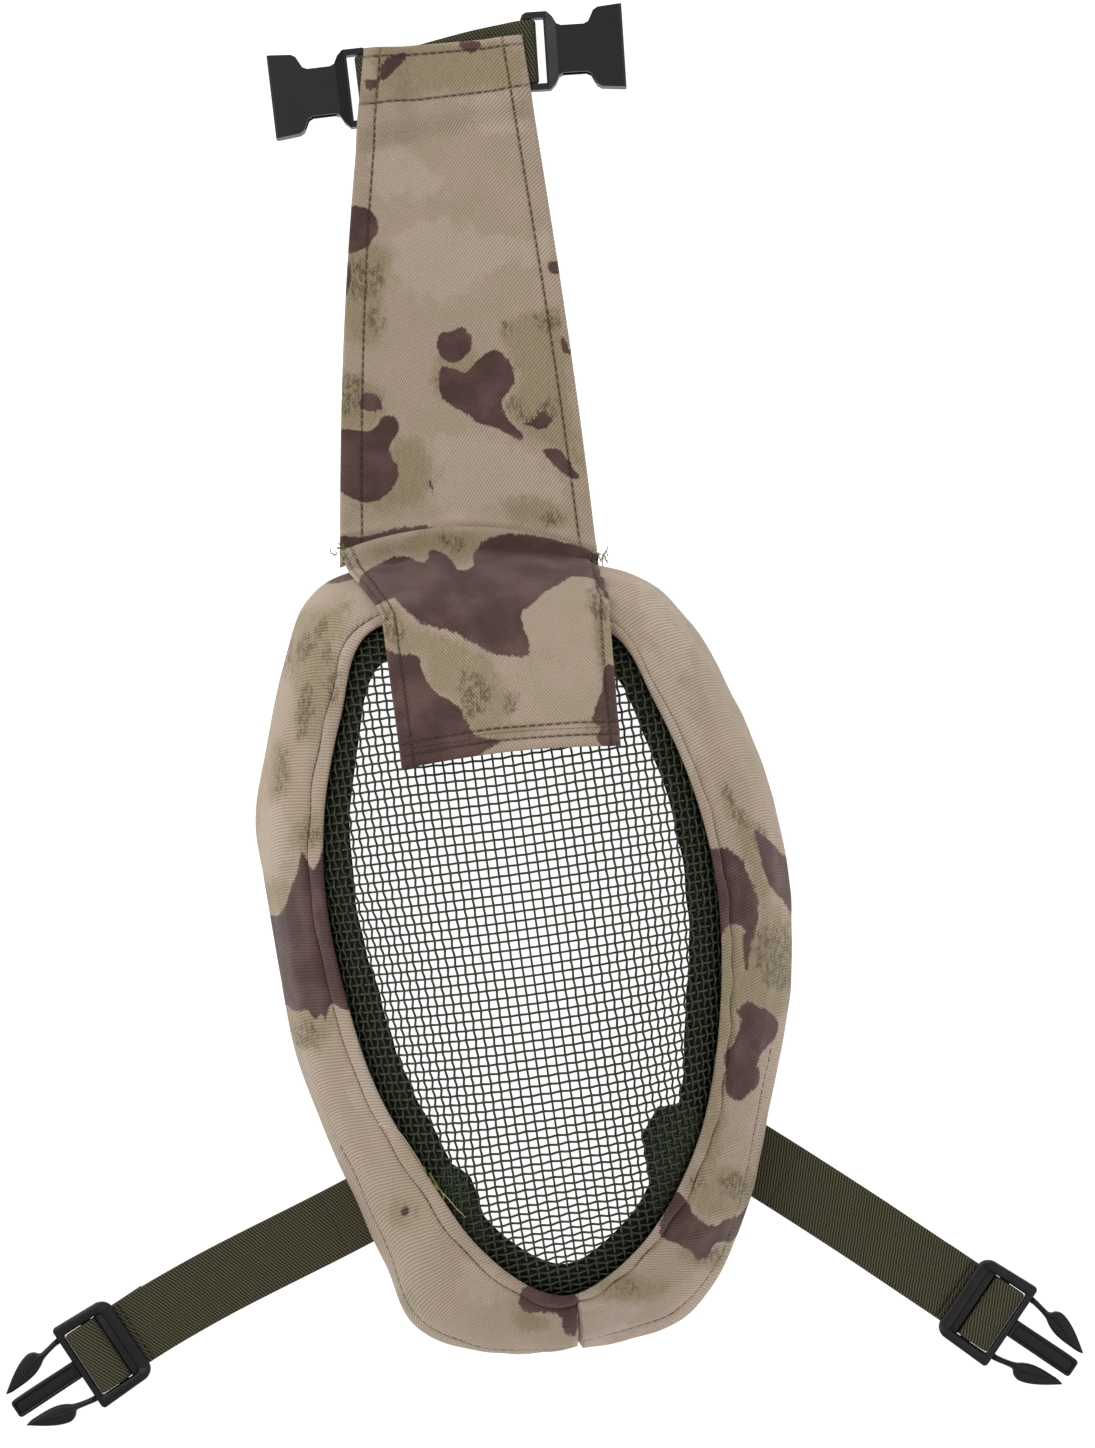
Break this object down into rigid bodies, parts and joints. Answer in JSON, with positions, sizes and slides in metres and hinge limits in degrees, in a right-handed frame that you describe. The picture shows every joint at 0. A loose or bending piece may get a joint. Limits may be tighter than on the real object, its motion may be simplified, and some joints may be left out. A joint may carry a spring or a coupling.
{
  "type": "camo face mask",
  "caption": "Protective face mask: domed woven wire mesh in a padded camo cloth surround, with a nose flap, a head panel and webbing straps with side-release buckles.",
  "frame": {"origin": "centre of the outline, on the plane that the rim rests on", "axes": "+Z out of the front of the mask, +Y from the chin towards the head panel, +X towards the right of the front view"},
  "size_m": [0.3864, 0.5103, 0.088],
  "materials": {
    "camo_cloth": "matte printed twill",
    "wire_paint": "satin painted steel wire",
    "padding": "matte spacer mesh",
    "webbing": "woven webbing",
    "buckle_plastic": "moulded, slightly glossy"
  },
  "bodies": {
    "mask": {"mesh_shell": "wire_paint", "cover_left": "camo_cloth", "cover_right": "camo_cloth", "bridge": "camo_cloth", "lining_band": "padding", "edge_foam": "padding", "strap_sewn_left": "webbing", "strap_sewn_right": "webbing", "strap_patch_left": "padding", "strap_patch_right": "padding"},
    "flap": {"nose_flap": "camo_cloth"},
    "panel": {"head_panel": "camo_cloth", "top_webbing": "webbing"},
    "socket_left": {"female_buckle_left": "buckle_plastic"},
    "socket_right": {"female_buckle_right": "buckle_plastic"},
    "strap_left_run": {"strap_left": "webbing"},
    "strap_right_run": {"strap_right": "webbing"},
    "strap_left_end": {"strap_loop_left": "webbing"},
    "strap_right_end": {"strap_loop_right": "webbing"},
    "plug_left": {"male_frame_left": "buckle_plastic"},
    "plug_right": {"male_frame_right": "buckle_plastic"},
    "arm_left_upper": {"male_arm_left_upper": "buckle_plastic"},
    "arm_left_lower": {"male_arm_left_lower": "buckle_plastic"},
    "arm_right_upper": {"male_arm_right_upper": "buckle_plastic"},
    "arm_right_lower": {"male_arm_right_lower": "buckle_plastic"}
  },
  "joints": [
    {"name": "flap_lift", "type": "hinge", "parent": "mask", "child": "flap", "pos_m": [-0.0177, 0.03644, 0.0501], "axis": [-1, 0, 0], "range_deg": [0, 75]},
    {"name": "panel_fold", "type": "hinge", "parent": "mask", "child": "panel", "pos_m": [-0.0277, 0.0605, 0.0008], "axis": [1, 0, 0], "range_deg": [-110, 90]},
    {"name": "socket_left_swing", "type": "hinge", "parent": "panel", "child": "socket_left", "pos_m": [-0.0645, 0.2272, 0.004], "axis": [0.1184, -0.993, 0], "range_deg": [-10, 60]},
    {"name": "socket_right_swing", "type": "hinge", "parent": "panel", "child": "socket_right", "pos_m": [-0.0065, 0.2397, 0.004], "axis": [-0.0645, 0.9979, 0], "range_deg": [-10, 60]},
    {"name": "strap_left_swing", "type": "hinge", "parent": "mask", "child": "strap_left_run", "pos_m": [-0.06787, -0.17645, 0.00095], "axis": [0.4695, -0.8829, 0], "range_deg": [-55, 100]},
    {"name": "strap_left_adjust", "type": "slide", "parent": "strap_left_run", "child": "strap_left_end", "axis": [0.8339, 0.5519, 0], "range_m": [0, 0.035], "deforming": ["strap_left"]},
    {"name": "plug_left_tip", "type": "hinge", "parent": "strap_left_end", "child": "plug_left", "pos_m": [-0.1586, -0.22647, 0.00295], "axis": [0.5519, -0.8339, 0], "range_deg": [0, 40]},
    {"name": "arm_left_upper_flex", "type": "hinge", "parent": "plug_left", "child": "arm_left_upper", "pos_m": [-0.17546, -0.223, 0.0028], "axis": [0, 0, 1], "range_deg": [0, 5], "stiffness_Nm_per_rad": 1.5},
    {"name": "arm_left_lower_flex", "type": "hinge", "parent": "plug_left", "child": "arm_left_lower", "pos_m": [-0.162, -0.24335, 0.0028], "axis": [0, 0, -1], "range_deg": [0, 5], "stiffness_Nm_per_rad": 1.5},
    {"name": "strap_right_swing", "type": "hinge", "parent": "mask", "child": "strap_right_run", "pos_m": [0.07754, -0.15906, 0.00095], "axis": [0.5299, 0.848, 0], "range_deg": [-55, 100]},
    {"name": "strap_right_adjust", "type": "slide", "parent": "strap_right_run", "child": "strap_right_end", "axis": [-0.829, 0.5592, 0], "range_m": [0, 0.035], "deforming": ["strap_right"]},
    {"name": "plug_right_tip", "type": "hinge", "parent": "strap_right_end", "child": "plug_right", "pos_m": [0.1574, -0.21152, 0.00295], "axis": [0.5592, 0.829, 0], "range_deg": [0, 40]},
    {"name": "arm_right_upper_flex", "type": "hinge", "parent": "plug_right", "child": "arm_right_upper", "pos_m": [0.1743, -0.2082, 0.0028], "axis": [0, 0, -1], "range_deg": [0, 5], "stiffness_Nm_per_rad": 1.5},
    {"name": "arm_right_lower_flex", "type": "hinge", "parent": "plug_right", "child": "arm_right_lower", "pos_m": [0.16065, -0.22842, 0.0028], "axis": [0, 0, 1], "range_deg": [0, 5], "stiffness_Nm_per_rad": 1.5}
  ]
}
